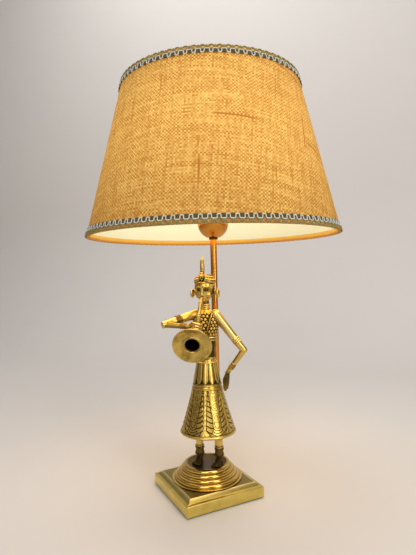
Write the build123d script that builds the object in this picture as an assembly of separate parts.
from build123d import *

import os
from math import asin, cos, hypot, pi, radians, sin, sqrt

# Brass table lamp: a cast horn player on a turned dome and a square plinth,
# with a tube stem behind the figure that carries a tapered cloth shade.
# Millimetres, +Z up. The origin is on the stem's axis, on the table.
# The figure faces -Y and its left hand is on the +X side.

# Clearances
seat_gap = 0.3        # curved pieces that sit close to each other
slip_gap = 0.15       # a shaft or tube in its hole
lift_gap = 0.1        # between faces that turn on each other

# Plinth, felt and cord bush
felt_thickness = 1.5
felt_inset = 2.0
plinth_band = 14.6            # top of the upright band above the table
plinth_rise = 19.6            # top plate above the table
plinth_wall = 3.0
plate_thickness = 2.6
shoulder_run = 8.85           # from the band's face in to the top plate's edge
shoulder_ledge = 0.9          # flat step above the band
shoulder_lip = 0.3            # upright lip of that step
bevel_run = 3.2
bevel_drop = 2.4
cove_depth = 0.7
stem_edge_margin = 2.4        # from the stem's collar to the top plate's edge
boss_radius = 8.5             # pad under the top plate for the stem's nut
boss_depth = 4.5
bush_radius = 4.4
bush_bore = 3.4
bush_flange_radius = 6.2
bush_flange_thickness = 2.0
bush_flange_taper = 0.9       # outer face of the flange as a share of its inner face
bush_tail = 3.0               # length inside the plinth's wall
bush_height = 8.2             # axis above the table

# Dome
dome_flange_radius = 45.9
dome_flange_thickness = 1.2
dome_foot_inset = 1.5
dome_foot_height = 0.8
dome_body_inset = 3.5         # from the flange's edge to the lowest ring
dome_rim_radius = 27.3
dome_rise = 19.7              # rim above the top plate
dome_ring_count = 4
dome_ring_bulge = 1.5
dome_wall = 2.2
dome_rim_width = 1.4
dome_floor_depth = 1.1        # standing floor below the rim

# Stem
stem_radius = 4.75
stem_bore = 3.6
collar_radius = 5.8
collar_height = 4.0
stem_nut_flats = 14.0
stem_nut_height = 5.0
stem_washer_radius = 8.2
stem_washer_thickness = 1.2
stem_tail = 1.3               # below the lower nut

# Cup and its fittings
cup_height = 339.0            # underside of the cup above the table
cup_radius = 22.0
cup_depth = 20.0
cup_flat = 9.5                # radius of the cup's flat floor
cup_wall = 1.0
neck_ring_radius = 6.3
neck_ring_height = 3.2
cup_nut_flats = 14.0
cup_nut_height = 4.0
cover_thickness = 1.2

# Legs and feet
figure_side = 3.0             # figure's middle beside the dome's
stud_radius = 2.0
stud_grip = 6.5               # length of stud inside a foot
stud_washer_radius = 4.5
stud_washer_thickness = 1.0
stud_nut_flats = 7.0
stud_nut_height = 3.2
stud_tail = 1.4
leg_spread = 13.5             # each leg from the figure's middle
leg_setback = 3.5
leg_radius = 5.6
ankle_radius = 4.5
ankle_height = 8.0
heel_taper = 0.92             # radius inside the foot as a share of the ankle's
anklet_height = 20.5
anklet_length = 9.0
anklet_proud = 0.9
anklet_flare = 1.3            # upper edge of the cuff as a share of anklet_proud
anklet_ring = 0.9
foot_length = 25.0
heel_back = 6.5               # heel behind the leg's axis
foot_width = 11.4
foot_height = 8.6
sole_flat = 0.6
foot_sections = [             # share of the length from the heel, shares of the width and height
    (0.00, 0.50, 0.55),
    (0.12, 0.80, 0.90),
    (0.35, 0.84, 1.00),
    (0.58, 0.92, 0.72),
    (0.78, 1.00, 0.42),
]
toe_count = 5
toe_radius = 1.15
toe_length = 3.4
toe_sink = 0.3                # tip's middle below the root's
toe_root = 1.15               # root's radius as a share of the tip's
toe_fan = 0.96                # spread of the roots as a share of the tips'
toe_bow = 2.0                 # how much shorter the outer toes are

# Skirt
hem_rise = 43.2               # middle of the hem's roll above the dome's floor
hem_radius = 36.1
hem_roll = 1.8
skirt_height = 61.2           # hem to band
band_radius = 18.5
band_ring = 0.8
band_spacing = 4.2            # between the two rings of the band
yoke_height = 33.1            # band to waist
waist_radius = 12.0
skirt_wall = 2.0
skirt_sag = 0.7
leg_gap = 0.5                 # legs to the inside of the skirt

# Torso, neck and head
torso_height = 64.6
torso_sections = [            # share of the height, half width, half depth
    (0.00, 11.4, 8.8),
    (0.20, 11.2, 8.6),
    (0.42, 13.4, 9.9),
    (0.64, 16.6, 11.2),
    (0.82, 16.6, 10.6),
    (0.94, 12.4, 8.6),
    (1.00, 7.2, 6.6),
]
belt_rise = 24.0              # lower belt ring above the waist
belt_ring_height = 1.6
belt_spacing = 3.4
belt_proud = 0.8
strap_width = 2.2
strap_lean = 14.0             # degrees from upright, seen from the front
strap_rise = 48.0             # middle of the strap above the waist
strap_side = 7.6              # middle of the strap to the figure's left
neck_length = 10.5
neck_radius = 5.4
neck_taper = 0.92
head_height = 23.7            # chin to the turban's edge
head_sections = [             # share of the height, half width, half depth, forward
    (0.00, 3.4, 3.4, 5.2),
    (0.12, 7.0, 7.4, 2.9),
    (0.36, 10.4, 11.0, 0.8),
    (0.63, 12.4, 12.8, 0.0),
    (0.86, 13.0, 13.3, 0.0),
    (1.00, 13.0, 13.2, 0.0),
]
nose_length = 8.0
nose_radius = 1.7
bridge_radius = 0.85
nose_proud = 1.6
eye_radius = 2.3
eye_sink = 1.6                # eyeball's middle behind the face
eye_spread = 5.2
eye_rise = 16.6               # above the chin
lip_radius = 1.1
lip_width = 5.0
lip_spread = 0.8              # each lip's middle above or below the mouth
lip_sink = 1.4
mouth_rise = 5.0              # above the chin
ear_rise = 13.0               # above the chin
ear_length = 9.0
ear_thickness = 2.4
ear_width = 5.4
earring_radius = 4.4
earring_wire = 1.2
turban_height = 12.5
turban_overhang = 1.1
turban_fold = 1.2
turban_sections = [           # share of the height, share of the width and depth
    (0.00, 0.97),
    (0.25, 0.97),
    (0.50, 0.88),
    (0.75, 0.68),
    (0.92, 0.42),
    (1.00, 0.20),
]
turban_folds = [              # share of the height, lean in degrees
    (0.00, 0.0),
    (0.30, 9.0),
    (0.42, -10.0),
]
fold_closing = 2.4            # how fast the folds close in, times the overhang, up the turban
jewel_width = 4.4
jewel_height = 13.2
jewel_depth = 3.0
jewel_sections = [            # share of the height, share of the size, lean back as a share of the depth
    (0.00, 0.40, 0.00),
    (0.35, 1.00, 0.00),
    (0.70, 0.82, 0.50),
    (1.00, 0.62, 1.10),
]
plume_height = 18.5
plume_radius = 2.8
plume_sections = [            # share of the height, share of the radius
    (0.00, 0.95),
    (0.25, 1.00),
    (0.60, 0.82),
    (1.00, 0.40),
]

# Arms
shoulder_spread = 14.0
shoulder_drop = 6.5           # below the torso's top
upper_arm_radius = 6.6
elbow_radius = 4.7
forearm_radius = 4.2          # at the elbow
wrist_radius = 3.0
left_armband_share = 0.74     # along the upper arm
right_armband_share = 0.58
armband_spacing = 2.6
armband_ring = 0.9
bangle_share = 0.71           # along the forearm
bangle_spacing = 2.2
bangle_ring = 0.9
left_elbow = (35.4, 5.0, -46.7)      # from the shoulder
left_wrist = (14.2, 0.5, -76.0)      # from the shoulder
left_hand_length = 25.5
left_hand_width = 7.0
left_hand_depth = 7.4
left_hand_lean = 3.6          # fingertips towards the skirt
left_hand_sections = [        # share of the length, share of the width and depth
    (0.00, 0.70),
    (0.25, 0.95),
    (0.50, 1.00),
    (0.80, 0.80),
    (1.00, 0.35),
]
right_elbow = (-29.8, -33.1, -10.4)  # from the shoulder
elbow_block = 4.0             # squared end of the right upper arm beyond the elbow
finger_count = 4
finger_radius = 1.7
finger_spacing = 3.0
right_hand_heel = 3.4         # ball of the hand behind the fingers
hand_place = 0.61             # share of the horn's length where the hand grips

# Horn
horn_route = [                # from the lips: sideways, forwards, down
    (0.0, 0.0, 0.0),
    (-1.4, -9.0, -18.0),
    (-6.0, -11.5, -41.0),
    (-6.3, -24.0, -57.4),
]
horn_start_heading = (-0.2, -0.5, -0.85)
bell_heading = (0.20, -0.88, -0.42)
horn_mouth_radius = 1.8
horn_end_radius = 10.2
horn_wall = 1.1
horn_taper = 0.35             # share of the growth that is steady; the rest flares at the end
horn_flare = 4                # power of that flare
horn_section_count = 9
horn_hollow_from = 0.62       # share of the length that stays solid
bell_radius = 24.8
bell_thickness = 1.4
bell_dish = 2.0
bell_lip = 1.1
bell_edge = 1.1

# Harp and shade support
saddle_thickness = 1.6
saddle_width = 12.0
saddle_span = 56.0            # between the two upright arms
saddle_arm = 8.0
harp_wire = 1.9
harp_height = 178.0           # cup cover to the shade's seat
harp_width = 96.0
harp_leg = 22.0               # straight length above the joint
harp_top_width = 37.0         # between the corners of the two upper bends
harp_splay = 35.0             # height over which the legs spread
harp_drop = 38.0              # height over which the bow closes at the top
harp_low_bend = 14.0
harp_top_bend = 24.0
ferrule_length = 14.0
ferrule_wall = 1.2
stud_block_radius = 5.2
stud_block_cover = 1.5        # metal over the wire
finial_stud_radius = 3.1
finial_stud_length = 14.0

# Socket, switch and bulb
cap_hub_radius = 8.0
cap_hub_height = 3.0
cap_floor = 6.0               # inside floor above the cap's foot
cap_radius = 17.0
cap_height = 18.0
cap_turn = 14.0               # height at which the cap's side turns upright
shell_radius = 16.0
shell_wall = 0.6
shell_lap = 2.0               # shell inside the cap
shell_height = 36.0
liner_thickness = 0.5
core_radius = 14.2
core_foot_radius = 9.0
core_height = 18.0
screw_bore = 13.25
screw_wall = 0.4
screw_height = 26.0
contact_radius = 3.5
contact_height = 1.2
spindle_radius = 1.9
spindle_height = 15.0         # above the cap's inside floor
spindle_end = 6.0             # inner end from the socket's axis
knob_start = 19.0             # from the socket's axis
knob_length = 11.0
knob_radius = 3.4
knob_taper = 0.8
knob_wing_start = 0.3         # share of the knob's length where its wing starts
knob_width = 12.0
knob_thickness = 3.0
bulb_cap_radius = 13.0
bulb_cap_height = 24.0
bulb_tip_radius = 4.2
bulb_tip_height = 3.0
bulb_tip_flare = 1.0
bulb_radius = 30.0
bulb_neck_radius = 12.4
bulb_shoulder = 44.0          # height of the widest part above the cap
bulb_slope = 28.0             # degrees below level where the neck's curve meets the ball
bulb_glass = 1.0

# Shade
shade_bottom_radius = 176.0
shade_top_radius = 124.5
shade_height = 211.5
cloth_thickness = 0.8
lining_thickness = 0.5
glue_gap = 0.1
shade_wire = 1.6
spider_wire = 1.5
trim_width = 11.0
trim_thickness = 1.4
spider_drop = 11.0            # top ring's middle above the washer's underside
spider_arm_count = 3
spider_washer_radius = 13.0
spider_washer_thickness = 1.5
spider_bend_run = 16.0        # length over which an arm climbs to the ring

# Finial
finial_height = 25.0
finial_foot_radius = 6.0
finial_waist_radius = 3.9
finial_ball_radius = 7.2

# Derived places
stem_offset = dome_flange_radius + collar_radius + seat_gap
plate_side = sqrt(2) * stem_offset + 2 * (collar_radius + stem_edge_margin)
plinth_side = plate_side + 2 * shoulder_run
plate_underside = plinth_rise - plate_thickness
boss_underside = plate_underside - boss_depth
stand_height = plinth_rise + dome_rise - dome_floor_depth
stand = Pos(figure_side, -stem_offset, stand_height)
cut_through = 4 * stand_height       # a cutter this long passes right through the base

band_height = hem_rise + skirt_height
waist_height = band_height + yoke_height
skirt_hollow = hypot(leg_spread, leg_setback) + leg_radius + leg_gap
hollow_share = (skirt_hollow + skirt_sag + skirt_wall - band_radius) / (hem_radius - band_radius)
leg_height = band_height - hollow_share * skirt_height

torso_top = waist_height + torso_height
chin_height = torso_top + neck_length
turban_height_from = chin_height + head_height
turban_top = turban_height_from + turban_height
jewel_foot = turban_height_from + 2 * turban_fold
head_width, head_depth = head_sections[-1][1:3]
lips = Vector(0, -head_sections[2][2] - head_sections[2][3] - lip_radius, chin_height + mouth_rise)

cup_rim = cup_height + cup_depth
saddle_height = cup_rim + cover_thickness
socket_foot = saddle_height + saddle_thickness
core_foot = socket_foot + cap_floor
core_top = core_foot + core_height
spindle_axis = core_foot + spindle_height
bulb_tip = core_top + contact_height + lift_gap
bulb_cap_top = bulb_tip + bulb_tip_height + bulb_cap_height
shade_seat = saddle_height + harp_height
harp_top = shade_seat - stud_block_cover - harp_wire
top_ring_height = shade_seat + lift_gap + spider_drop
shade_top = top_ring_height + shade_wire
shade_bottom = shade_top - shade_height
spider_seat = shade_seat + lift_gap
washer_top = spider_seat + spider_washer_thickness


# General shapes
def turned(*edges):
    """A body turned about Z from the edges of its half outline in the XZ plane."""
    return revolve(make_face(edges), Axis.Z)


def at(r, z):
    """A point of a half outline."""
    return Vector(r, 0, z)


def tube(outer, inner, low, high):
    """An upright tube about Z."""
    return turned(Polyline(at(inner, low), at(outer, low), at(outer, high), at(inner, high), close=True))


def bar(start, end, start_radius, end_radius):
    """A straight tapered round bar between two points."""
    along = Vector(end) - Vector(start)
    plane = Plane(origin=start, z_dir=along)
    if start_radius == end_radius:
        return Solid.make_cylinder(start_radius, along.length, plane)
    return Solid.make_cone(start_radius, end_radius, along.length, plane)


def ring(middle, along, major, minor):
    """A round ring about the direction along."""
    return Solid.make_torus(major, minor, Plane(origin=middle, z_dir=along))


def hex_nut(flats, height, bore, low):
    """A hexagonal nut about Z, its underside at low."""
    blank = Pos(0, 0, low) * extrude(RegularPolygon(flats / 2, 6, major_radius=False), height)
    return blank - Pos(0, 0, low + height / 2) * Cylinder(bore, 2 * height)


def between(low, high):
    """A slab that holds everything between two heights."""
    reach = 2 * shade_bottom_radius
    return Pos(0, 0, (low + high) / 2) * Box(reach, reach, high - low)


def bulged(start, end, bulge):
    """An arc between two outline points, bulging to the right of its run."""
    run = end - start
    middle = start + run * 0.5 + Vector(run.Z, 0, -run.X).normalized() * bulge
    return ThreePointArc(start, middle, end)


# Plinth, felt and bush
def on_base(shape):
    """Place a shape that is drawn square to the plinth."""
    return Pos(0, -stem_offset, 0) * Rot(0, 0, 45) * shape


def make_plinth():
    half = plinth_side / 2
    plate_half = plate_side / 2
    ledge_edge = half - shoulder_ledge
    bevel_foot = at(plate_half + bevel_run, plinth_rise - bevel_drop)
    cove_foot = at(ledge_edge, plinth_band + shoulder_lip)
    half_outline = make_face([
        Polyline(at(0, felt_thickness), at(half, felt_thickness), at(half, plinth_band),
                 at(ledge_edge, plinth_band), cove_foot),
        bulged(cove_foot, bevel_foot, -cove_depth),
        Polyline(bevel_foot, at(plate_half, plinth_rise), at(0, plinth_rise), at(0, felt_thickness)),
    ])
    outline = half_outline + mirror(half_outline, Plane.YZ)
    moulding = extrude(outline, half, dir=(0, 1, 0), both=True)
    body = moulding & (Rot(0, 0, 90) * moulding)
    hollow_side = plinth_side - 2 * plinth_wall
    hollow = between(felt_thickness, plinth_band - plinth_wall) & Box(hollow_side, hollow_side, cut_through)
    upper = between(felt_thickness, plate_underside) & Box(plate_side, plate_side, cut_through)
    body = on_base(body - hollow - upper - bush_solid(bush_radius + slip_gap, 0))
    body += Pos(0, 0, (boss_underside + plate_underside) / 2) * Cylinder(boss_radius, boss_depth)
    body -= Cylinder(stem_radius + slip_gap, cut_through)
    for stud in stud_places():
        body -= stud * Cylinder(stud_radius + slip_gap, cut_through)
    return body


def make_felt():
    side = plinth_side - 2 * felt_inset
    return on_base(Pos(0, 0, felt_thickness / 2) * Box(side, side, felt_thickness))


def bush_solid(radius, flange):
    """The bush's outside about its axis, which leaves through the rear left wall."""
    face = plinth_side / 2
    inner = face - plinth_wall - bush_tail
    body = bar((0, inner, bush_height), (0, face + bush_flange_thickness, bush_height), radius, radius)
    if flange:
        body += bar((0, face, bush_height), (0, face + bush_flange_thickness, bush_height),
                    flange, bush_flange_taper * flange)
    return body


def make_bush():
    bush = bush_solid(bush_radius, bush_flange_radius)
    hole = Pos(0, plinth_side / 2, bush_height) * Rot(90, 0, 0) * Cylinder(bush_bore, plinth_side / 2)
    return on_base(bush - hole)


# Dome
def make_dome():
    body_radius = dome_flange_radius - dome_body_inset
    foot_radius = dome_flange_radius - dome_foot_inset
    flange_top = dome_foot_height + dome_flange_thickness
    step_in = (body_radius - dome_rim_radius) / dome_ring_count
    step_up = (dome_rise - flange_top) / dome_ring_count
    corners = [at(body_radius - i * step_in, flange_top + i * step_up) for i in range(dome_ring_count + 1)]
    rings = [bulged(low, high, dome_ring_bulge) for low, high in zip(corners, corners[1:])]
    floor = dome_rise - dome_floor_depth
    well = dome_rim_radius - dome_rim_width
    foot = Polyline(at(body_radius - dome_wall, 0), at(foot_radius, 0), at(foot_radius, dome_foot_height),
                    at(dome_flange_radius, dome_foot_height), at(dome_flange_radius, flange_top), corners[0])
    crown = Polyline(corners[-1], at(well, dome_rise), at(well, floor), at(0, floor),
                     at(0, floor - dome_wall), at(well - dome_wall, floor - dome_wall),
                     at(body_radius - dome_wall, 0))
    dome = Pos(0, -stem_offset, plinth_rise) * turned(foot, *rings, crown)
    for stud in stud_places():
        dome -= stud * Cylinder(stud_radius + slip_gap, cut_through)
    return dome


# Studs that hold the figure
def stud_places():
    """The two studs' axes, at the height of the table."""
    return [Pos(figure_side + side * leg_spread, leg_setback - stem_offset, 0) for side in (-1, 1)]


def make_studs():
    low = plate_underside - stud_washer_thickness - stud_nut_height - stud_tail
    high = stand_height + stud_grip
    rod = Pos(0, 0, (low + high) / 2) * Cylinder(stud_radius, high - low)
    return Compound([place * rod for place in stud_places()])


def make_stud_washers():
    low = plate_underside - stud_washer_thickness
    washer = tube(stud_washer_radius, stud_radius + slip_gap, low, plate_underside)
    return Compound([place * washer for place in stud_places()])


def make_stud_nuts():
    low = plate_underside - stud_washer_thickness - stud_nut_height
    nut = hex_nut(stud_nut_flats, stud_nut_height, stud_radius + slip_gap, low)
    return Compound([place * nut for place in stud_places()])


# Figure: legs and feet, drawn from the dome's floor upwards
def make_foot(x):
    """A bare foot that points forwards, flat under the sole."""
    heel = leg_setback + heel_back
    ball = heel - foot_sections[-1][0] * foot_length
    sections = []
    for share, width, height in foot_sections:
        tall = height * foot_height
        middle = (x, heel - share * foot_length, tall / 2 - sole_flat)
        sections.append(Plane(origin=middle, x_dir=(1, 0, 0), z_dir=(0, -1, 0))
                        * Ellipse(width * foot_width / 2, tall / 2))
    foot = loft(sections)
    pitch = (foot_width - 2 * toe_radius) / (toe_count - 1)
    for i in range(toe_count):
        side = i * pitch + toe_radius - foot_width / 2
        root = (x + toe_fan * side, ball + toe_length, toe_radius)
        tip = (x + side, ball - toe_length * (1 - toe_bow * (side / foot_width) ** 2), toe_radius - toe_sink)
        foot += bar(root, tip, toe_root * toe_radius, toe_radius)
        foot += Pos(*tip) * Sphere(toe_radius)
    return foot & between(0, 4 * foot_height)


def make_leg(side):
    x = side * leg_spread
    ankle = (x, leg_setback, ankle_height)
    leg = bar(ankle, (x, leg_setback, leg_height), ankle_radius, leg_radius)
    leg += bar((x, leg_setback, ankle_height / 2), ankle, heel_taper * ankle_radius, ankle_radius)
    cuff_low = anklet_height - anklet_length
    leg += bar((x, leg_setback, cuff_low), (x, leg_setback, anklet_height),
               ankle_radius + anklet_proud, ankle_radius + anklet_flare * anklet_proud)
    for height in (cuff_low, anklet_height - 2 * anklet_ring, anklet_height):
        leg += ring((x, leg_setback, height), (0, 0, 1), ankle_radius + anklet_proud, anklet_ring)
    leg += make_foot(x)
    return leg - Pos(x, leg_setback, 0) * Cylinder(stud_radius + slip_gap, 2 * (stud_grip + slip_gap))


# Figure: skirt
def make_skirt():
    hem = at(hem_radius, hem_rise)
    band = at(band_radius, band_height)
    inner_hem = at(hem_radius - skirt_wall, hem_rise)
    ceiling = at(skirt_hollow, leg_height)
    skirt = turned(
        bulged(hem, band, -skirt_sag),
        Polyline(band, at(waist_radius, waist_height), at(0, waist_height), at(0, leg_height), ceiling),
        bulged(ceiling, inner_hem, skirt_sag),
        Line(inner_hem, hem),
    )
    skirt += ring((0, 0, hem_rise), (0, 0, 1), hem_radius - hem_roll / 2, hem_roll)
    slope = (hem_radius - band_radius) / skirt_height
    for drop in (0, band_spacing):
        skirt += ring((0, 0, band_height - drop), (0, 0, 1), band_radius + slope * drop, band_ring)
    return skirt


# Figure: torso with its belt rings and strap
def torso_form(proud=0.0):
    return loft([
        Pos(0, 0, waist_height + share * torso_height) * Ellipse(width + proud, depth + proud)
        for share, width, depth in torso_sections
    ])


def make_torso():
    torso = torso_form()
    dressed = torso_form(belt_proud)
    inside = between(waist_height, torso_top)
    for i in range(2):
        low = waist_height + belt_rise + i * belt_spacing
        torso += dressed & between(low, low + belt_ring_height)
    middle = Pos(strap_side, -shade_bottom_radius / 2, waist_height + strap_rise)
    slab = middle * Rot(0, strap_lean, 0) * Box(strap_width, shade_bottom_radius, torso_height)
    torso += dressed & slab & between(waist_height + belt_rise, torso_top)
    return torso & inside


# Figure: head, earrings, turban and plume
def head_front(share):
    """How far the face reaches forwards at a share of the head's height."""
    for low, high in zip(head_sections, head_sections[1:]):
        if share <= high[0]:
            part = (share - low[0]) / (high[0] - low[0])
            return low[2] + low[3] + part * (high[2] + high[3] - low[2] - low[3])
    return head_depth


def head_form():
    return loft([
        Pos(0, -forward, chin_height + share * head_height) * Ellipse(width, depth)
        for share, width, depth, forward in head_sections
    ])


def ear_form(side):
    middle = (side * (head_width - ear_thickness / 2), 0, chin_height + ear_rise)
    outward = Plane(origin=middle, x_dir=(0, 1, 0), z_dir=(side, 0, 0))
    return extrude(outward * Ellipse(ear_width / 2, ear_length / 2), 2 * ear_thickness)


def make_head():
    head = head_form()
    head += bar((0, 0, torso_top), (0, 0, chin_height + eye_rise), neck_radius, neck_taper * neck_radius)
    head += ring((0, 0, torso_top + 2 * lip_radius), (0, 0, 1), neck_radius, lip_radius)
    bridge = chin_height + eye_rise
    tip = bridge - nose_length
    tip_front = head_front((tip - chin_height) / head_height)
    bridge_front = head_front(eye_rise / head_height)
    head += bar((0, -bridge_front, bridge), (0, -tip_front - nose_proud + nose_radius / 2, tip),
                bridge_radius, nose_radius)
    eye_front = bridge_front * sqrt(1 - (eye_spread / head_width) ** 2)
    for side in (-1, 1):
        head += Pos(side * eye_spread, -eye_front + eye_sink, bridge) * Sphere(eye_radius)
        head += ear_form(side)
        lip = Pos(0, lips.Y + lip_sink, lips.Z + side * lip_spread)
        head += lip * Rot(0, 90, 0) * Cylinder(lip_radius, lip_width)
    return head & between(torso_top, turban_height_from)


def make_earrings():
    rings = []
    for side in (-1, 1):
        hang = (side * (head_width + 1.5 * ear_thickness + earring_wire + slip_gap), 0,
                chin_height + ear_rise - ear_length / 4)
        rings.append(ring(hang, (1, 0, 0), earring_radius, earring_wire))
    return Compound(rings)


def turban_form():
    width = head_width + turban_overhang
    depth = head_depth + turban_overhang
    return loft([
        Pos(0, 0, turban_height_from + share * turban_height) * Ellipse(size * width, size * depth)
        for share, size in turban_sections
    ])


def jewel_form():
    """The pointed ornament at the front of the turban."""
    front = -(head_depth + turban_overhang) + jewel_depth / 2
    return loft([
        Pos(0, front + lean * jewel_depth, jewel_foot + share * jewel_height)
        * Ellipse(size * jewel_width, size * jewel_depth)
        for share, size, lean in jewel_sections
    ])


def make_turban():
    turban = turban_form()
    for rise, lean in turban_folds:
        fold = turban_height_from + turban_fold + rise * turban_height
        size = head_width + turban_overhang * (1 - fold_closing * rise)
        turban += Pos(0, 0, fold) * Rot(lean, lean, 0) * Torus(size - turban_fold / 2, turban_fold)
    turban += jewel_form()
    return turban & between(turban_height_from, 2 * turban_top)


def make_plume():
    foot = jewel_foot + jewel_height
    middle = -(head_depth + turban_overhang) + (0.5 + jewel_sections[-1][2]) * jewel_depth
    return loft([
        Pos(0, middle, foot + share * plume_height) * Circle(size * plume_radius)
        for share, size in plume_sections
    ])


# Figure: horn
def horn_line():
    points = [lips + Vector(p) for p in horn_route]
    return Spline(*points, tangents=[Vector(horn_start_heading), Vector(bell_heading)])


def horn_radius(share):
    """The horn's radius at a share of its length: a slow taper that flares at the end."""
    growth = horn_taper * share + (1 - horn_taper) * share ** horn_flare
    return horn_mouth_radius + (horn_end_radius - horn_mouth_radius) * growth


def horn_form(first, proud):
    line = horn_line()
    steps = horn_section_count - 1
    shares = [first + (1 - first) * i / steps for i in range(horn_section_count)]
    return loft([
        Plane(origin=line @ share, x_dir=(1, 0, 0), z_dir=line % share) * Circle(horn_radius(share) + proud)
        for share in shares
    ])


def make_horn(head):
    return horn_form(0, 0) - horn_form(horn_hollow_from, -horn_wall) - head


def make_bell():
    throat = horn_end_radius + slip_gap
    edge = bell_radius
    back = -bell_thickness
    bell = turned(Polyline(
        at(throat, back), at(edge, bell_dish + back), at(edge, bell_dish), at(throat, 0), close=True))
    bell += ring((0, 0, 0), (0, 0, 1), throat + bell_lip, bell_lip)
    bell += ring((0, 0, bell_dish + back / 2), (0, 0, 1), edge - bell_thickness / 2, bell_edge)
    line = horn_line()
    return Plane(origin=line @ 1, x_dir=(1, 0, 0), z_dir=line % 1) * bell


# Figure: arms
def shoulder(side):
    return Vector(side * shoulder_spread, 0, torso_top - shoulder_drop)


def rings_on(start, end, start_radius, end_radius, share, spacing, wire, count):
    """Rings side by side round a tapered bar, about a share of its length."""
    along = end - start
    length = along.length
    rings = []
    for i in range(count):
        part = share + (i - (count - 1) / 2) * spacing / length
        radius = start_radius + (end_radius - start_radius) * part
        rings.append(ring(start + along * part, along, radius, wire))
    return rings


def upper_arm(start, end, armband_share):
    arm = Pos(*start) * Sphere(upper_arm_radius)
    arm += bar(start, end, upper_arm_radius, elbow_radius)
    for band in rings_on(start, end, upper_arm_radius, elbow_radius, armband_share, armband_spacing,
                         armband_ring, 3):
        arm += band
    return arm


def forearm(elbow, wrist):
    arm = bar(elbow, wrist, forearm_radius, wrist_radius)
    for bangle in rings_on(elbow, wrist, forearm_radius, wrist_radius, bangle_share, bangle_spacing,
                           bangle_ring, 3):
        arm += bangle
    return arm


def make_left_arm(torso):
    start = shoulder(1)
    elbow = start + Vector(left_elbow)
    wrist = start + Vector(left_wrist)
    arm = upper_arm(start, elbow, left_armband_share) + forearm(elbow, wrist)
    arm += Pos(*elbow) * Sphere(elbow_radius)
    arm += Pos(*wrist) * Sphere(wrist_radius)
    arm += loft([
        Pos(wrist.X - share * left_hand_lean, wrist.Y, wrist.Z - share * left_hand_length)
        * Ellipse(size * left_hand_width / 2, size * left_hand_depth / 2)
        for share, size in left_hand_sections
    ])
    return arm - torso


def make_right_arm(torso):
    line = horn_line()
    grip = line @ hand_place
    along = line % hand_place
    start = shoulder(-1)
    elbow = start + Vector(right_elbow)
    block_end = elbow + Vector(right_elbow).normalized() * elbow_block
    reach = horn_radius(hand_place) + slip_gap + finger_radius
    wrist = grip + (elbow - grip).normalized() * reach
    arm = upper_arm(start, block_end, right_armband_share) + forearm(elbow, wrist)
    arm += Pos(*wrist) * Sphere(right_hand_heel)
    for i in range(finger_count):
        place = grip + along * ((i - (finger_count - 1) / 2) * finger_spacing)
        arm += ring(place, along, reach, finger_radius)
    return arm - torso - horn_form(0, slip_gap)


# Stem and its fittings
def make_stem():
    low = boss_underside - stem_washer_thickness - stem_nut_height - stem_tail
    return tube(stem_radius, stem_bore, low, core_foot - seat_gap)


def make_stem_nut():
    low = boss_underside - stem_washer_thickness - stem_nut_height
    return hex_nut(stem_nut_flats, stem_nut_height, stem_radius + slip_gap, low)


def make_cup():
    """A spun cup with a flat floor and sides that rise to an upright rim."""
    outline = []
    for inset in (0, cup_wall):
        flare = cup_radius - cup_flat
        radius = (flare ** 2 + cup_depth ** 2) / (2 * flare)
        middle = at(cup_radius - radius, cup_rim)
        slope = asin(cup_depth / radius) / 2
        size = radius - inset
        outline.append((at(cup_flat - inset / 2, cup_height + inset),
                        middle + at(size * cos(slope), -size * sin(slope)),
                        at(cup_radius - inset, cup_rim)))
    outer, inner = outline
    bore = stem_radius + slip_gap
    return turned(
        Polyline(at(bore, cup_height), outer[0]),
        ThreePointArc(*outer),
        Line(outer[2], inner[2]),
        ThreePointArc(*reversed(inner)),
        Polyline(inner[0], at(bore, cup_height + cup_wall), at(bore, cup_height)),
    )


# Harp
def make_saddle():
    strip = Pos(0, 0, saddle_height + saddle_thickness / 2) * Box(saddle_span, saddle_width, saddle_thickness)
    arm_length = saddle_thickness + saddle_arm
    for side in (-1, 1):
        end = Pos(side * saddle_span / 2, 0, saddle_height)
        strip += end * Pos(0, 0, saddle_thickness / 2) * Cylinder(saddle_width / 2, saddle_thickness)
        strip += end * Pos(0, 0, arm_length / 2) * Cylinder(harp_wire, arm_length)
    return strip - Pos(0, 0, saddle_height) * Cylinder(stem_radius + slip_gap, 4 * saddle_thickness)


def make_harp():
    foot = socket_foot + saddle_arm
    near = saddle_span / 2
    wide = harp_width / 2
    corners = [(near, foot + harp_leg), (wide, foot + harp_leg + harp_splay), (wide, harp_top - harp_drop),
               (harp_top_width / 2, harp_top)]
    right = [at(near, foot)] + [at(x, z) for x, z in corners]
    left = [at(-p.X, p.Z) for p in reversed(right)]
    bends = [harp_low_bend, harp_low_bend, harp_top_bend, harp_top_bend]
    path = FilletPolyline(*right, *left, radius=bends + bends[::-1])
    return sweep(Plane(origin=path @ 0, z_dir=path % 0) * Circle(harp_wire), path)


def make_ferrule(side):
    sleeve = tube(harp_wire + slip_gap + ferrule_wall, harp_wire + slip_gap,
                  socket_foot + lift_gap, socket_foot + lift_gap + ferrule_length)
    return Pos(side * saddle_span / 2, 0, 0) * sleeve


def make_harp_stud():
    low = harp_top - harp_wire - stud_block_cover
    block = Pos(0, 0, (low + shade_seat) / 2) * Cylinder(stud_block_radius, shade_seat - low)
    block -= Pos(0, 0, harp_top) * Rot(0, 90, 0) * Cylinder(harp_wire + slip_gap, 4 * stud_block_radius)
    stud = Cylinder(finial_stud_radius, finial_stud_length)
    return block + Pos(0, 0, shade_seat + finial_stud_length / 2) * stud


# Socket, switch and bulb
def spindle_hole(radius):
    """The way of the switch's spindle out through the front of the socket."""
    reach = 2 * shell_radius
    return Pos(0, -spindle_end + seat_gap - reach / 2, spindle_axis) * Rot(90, 0, 0) * Cylinder(radius, reach)


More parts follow.
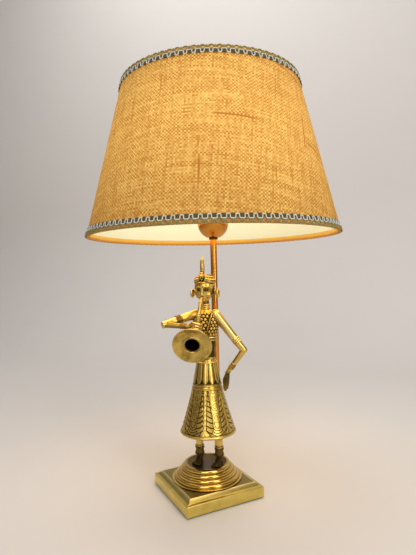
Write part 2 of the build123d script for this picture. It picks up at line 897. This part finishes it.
def make_socket_cap():
    wall = cap_radius - shell_radius - slip_gap
    hub = at(cap_hub_radius, socket_foot + cap_hub_height)
    turn = at(cap_radius, socket_foot + cap_turn)
    inner_turn = at(cap_radius - wall, socket_foot + cap_turn)
    floor_edge = at(core_foot_radius + slip_gap, core_foot)
    rim = socket_foot + cap_height
    bore = stem_radius + slip_gap
    return turned(
        Polyline(at(bore, socket_foot), at(cap_hub_radius, socket_foot), hub),
        bulged(hub, turn, wall),
        Polyline(turn, at(cap_radius, rim), at(cap_radius - wall, rim), inner_turn),
        Line(inner_turn, floor_edge),
        Polyline(floor_edge, at(bore, core_foot), at(bore, socket_foot)),
    )


def make_socket_core():
    shoulder_height = socket_foot + cap_turn + seat_gap
    core = turned(Polyline(
        at(0, core_foot), at(core_foot_radius, core_foot), at(core_foot_radius, shoulder_height),
        at(core_radius, shoulder_height), at(core_radius, core_top), at(0, core_top), close=True))
    return core - spindle_hole(spindle_radius + slip_gap)


def make_socket_shell():
    low = socket_foot + cap_height - shell_lap
    high = low + shell_height
    shell = tube(shell_radius, shell_radius - shell_wall, low, high)
    shell += ring((0, 0, high), (0, 0, 1), shell_radius - shell_wall / 2, shell_wall)
    return shell - spindle_hole(2 * spindle_radius)


def make_socket_liner():
    low = socket_foot + cap_height - shell_lap
    outer = shell_radius - shell_wall - slip_gap
    liner = tube(outer, outer - liner_thickness, low, low + shell_height - 2 * shell_wall)
    return liner - spindle_hole(2 * spindle_radius)


def make_knob():
    spindle_length = knob_start - spindle_end + knob_length / 2
    spindle = bar((0, -spindle_end, spindle_axis), (0, -spindle_end - spindle_length, spindle_axis),
                  spindle_radius, spindle_radius)
    knob = spindle + bar((0, -knob_start, spindle_axis), (0, -knob_start - knob_length, spindle_axis),
                         knob_radius, knob_taper * knob_radius)
    wing_foot = knob_start + knob_wing_start * knob_length
    wing = Plane(origin=(0, -wing_foot, spindle_axis), x_dir=(1, 0, 0), z_dir=(0, -1, 0))
    return knob + extrude(wing * SlotOverall(knob_width, knob_thickness), (1 - knob_wing_start) * knob_length)


def make_bulb_cap():
    return turned(Polyline(
        at(0, bulb_tip), at(bulb_tip_radius, bulb_tip),
        at(bulb_tip_radius + bulb_tip_flare, bulb_tip + bulb_tip_height / 2),
        at(bulb_cap_radius, bulb_tip + bulb_tip_height), at(bulb_cap_radius, bulb_cap_top),
        at(0, bulb_cap_top), close=True))


def make_bulb_glass():
    middle = at(0, bulb_cap_top + bulb_shoulder)
    slope = radians(bulb_slope)
    outlines = []
    for inset in (0, bulb_glass):
        size = bulb_radius - inset
        outlines.append((at(bulb_neck_radius - inset, bulb_cap_top),
                         middle + at(size * cos(slope), -size * sin(slope)),
                         middle + at(0, size)))
    outer, inner = outlines
    neck_heading = at(0, 1)
    side_heading = at(sin(slope), cos(slope))
    return turned(
        Spline(outer[0], outer[1], tangents=[neck_heading, side_heading]),
        ThreePointArc(outer[1], middle + at(bulb_radius, 0), outer[2]),
        Line(outer[2], inner[2]),
        ThreePointArc(inner[2], middle + at(bulb_radius - bulb_glass, 0), inner[1]),
        Spline(inner[1], inner[0], tangents=[-side_heading, -neck_heading]),
        Line(inner[0], outer[0]),
    )


# Shade
def shade_radius(height):
    """Outside radius of the cloth at a height."""
    share = (height - shade_bottom) / shade_height
    return shade_bottom_radius + share * (shade_top_radius - shade_bottom_radius)


def shade_skin(outset, thickness, low, high):
    """A conical skin whose outside stands off the cloth's outside by outset."""
    return turned(Polyline(
        at(shade_radius(low) + outset, low), at(shade_radius(high) + outset, high),
        at(shade_radius(high) + outset - thickness, high), at(shade_radius(low) + outset - thickness, low),
        close=True))


lining_inset = cloth_thickness + glue_gap
wire_inset = lining_inset + lining_thickness + seat_gap + shade_wire


def make_bottom_ring():
    height = shade_bottom + shade_wire
    return ring((0, 0, height), (0, 0, 1), shade_radius(height) - wire_inset, shade_wire)


def make_top_ring():
    radius = shade_radius(top_ring_height) - wire_inset
    return ring((0, 0, top_ring_height), (0, 0, 1), radius, shade_wire)


def make_spider():
    """The washer and its arms, which end against the top ring where they are welded."""
    spider = tube(spider_washer_radius, finial_stud_radius + slip_gap, spider_seat, washer_top)
    ring_radius = shade_radius(top_ring_height) - wire_inset
    arm_height = spider_seat + spider_wire
    start = at(spider_washer_radius - spider_wire, arm_height)
    bend = at(ring_radius - spider_bend_run, arm_height)
    path = FilletPolyline(start, bend, at(ring_radius, top_ring_height), radius=spider_bend_run / 2)
    arm = sweep(Plane(origin=path @ 0, z_dir=path % 0) * Circle(spider_wire), path)
    for i in range(spider_arm_count):
        spider += Rot(0, 0, 90 + i * 360 / spider_arm_count) * arm
    return spider - make_top_ring()


def make_finial():
    foot = washer_top + lift_gap
    top = foot + finial_height
    ball = top - finial_ball_radius
    foot_height = finial_foot_radius / 2
    waist = at(finial_waist_radius, (foot + foot_height + ball - finial_ball_radius) / 2)
    foot_edge = at(finial_foot_radius, foot + foot_height)
    ball_low = at(finial_ball_radius * cos(pi / 4), ball - finial_ball_radius * sin(pi / 4))
    body = turned(
        Polyline(at(0, foot), at(finial_foot_radius, foot), foot_edge),
        ThreePointArc(foot_edge, waist, ball_low),
        ThreePointArc(ball_low, at(finial_ball_radius, ball), at(0, top)),
        Line(at(0, top), at(0, foot)),
    )
    depth = shade_seat + finial_stud_length + seat_gap - foot
    return body - Pos(0, 0, foot + depth / 2) * Cylinder(finial_stud_radius + slip_gap, depth)


stem_hole = stem_radius + slip_gap
torso = make_torso()
head = make_head()
pieces = {
    "felt_pad": make_felt(),
    "plinth": make_plinth(),
    "cord_bush": make_bush(),
    "base_dome": make_dome(),
    "figure_studs": make_studs(),
    "figure_washers": make_stud_washers(),
    "figure_nuts": make_stud_nuts(),
    "right_leg": stand * make_leg(-1),
    "left_leg": stand * make_leg(1),
    "skirt": stand * make_skirt(),
    "torso": stand * torso,
    "head": stand * head,
    "ear_rings": stand * make_earrings(),
    "turban": stand * make_turban(),
    "plume": stand * make_plume(),
    "left_arm": stand * make_left_arm(torso),
    "right_arm": stand * make_right_arm(torso),
    "horn": stand * make_horn(head),
    "horn_bell": stand * make_bell(),
    "stem": make_stem(),
    "stem_collar": tube(collar_radius, stem_hole, plinth_rise, plinth_rise + collar_height),
    "stem_washer": tube(stem_washer_radius, stem_hole,
                        boss_underside - stem_washer_thickness, boss_underside),
    "stem_nut": make_stem_nut(),
    "neck_ring": tube(neck_ring_radius, stem_hole, cup_height - neck_ring_height, cup_height),
    "cup": make_cup(),
    "cup_nut": hex_nut(cup_nut_flats, cup_nut_height, stem_hole, cup_height + cup_wall),
    "cup_cover": tube(cup_radius, stem_hole, cup_rim, cup_rim + cover_thickness),
    "harp_saddle": make_saddle(),
    "harp_bow": make_harp(),
    "right_ferrule": make_ferrule(-1),
    "left_ferrule": make_ferrule(1),
    "harp_stud": make_harp_stud(),
    "socket_cap": make_socket_cap(),
    "socket_core": make_socket_core(),
    "socket_shell": make_socket_shell(),
    "socket_liner": make_socket_liner(),
    "screw_shell": tube(screw_bore + screw_wall, screw_bore, core_top, core_top + screw_height),
    "centre_contact": Pos(0, 0, core_top + contact_height / 2) * Cylinder(contact_radius, contact_height),
    "switch_knob": make_knob(),
    "bulb_cap": make_bulb_cap(),
    "bulb_glass": make_bulb_glass(),
    "shade_fabric": shade_skin(0, cloth_thickness, shade_bottom, shade_top),
    "shade_lining": shade_skin(-lining_inset, lining_thickness, shade_bottom, shade_top),
    "shade_spider": make_spider(),
    "shade_top_ring": make_top_ring(),
    "shade_bottom_ring": make_bottom_ring(),
    "shade_top_trim": shade_skin(glue_gap + trim_thickness, trim_thickness,
                                 shade_top - trim_width, shade_top),
    "shade_bottom_trim": shade_skin(glue_gap + trim_thickness, trim_thickness,
                                    shade_bottom, shade_bottom + trim_width),
    "finial": make_finial(),
}

os.makedirs("parts", exist_ok=True)
for node, shape in pieces.items():
    export_step(shape, f"parts/{node}.step")
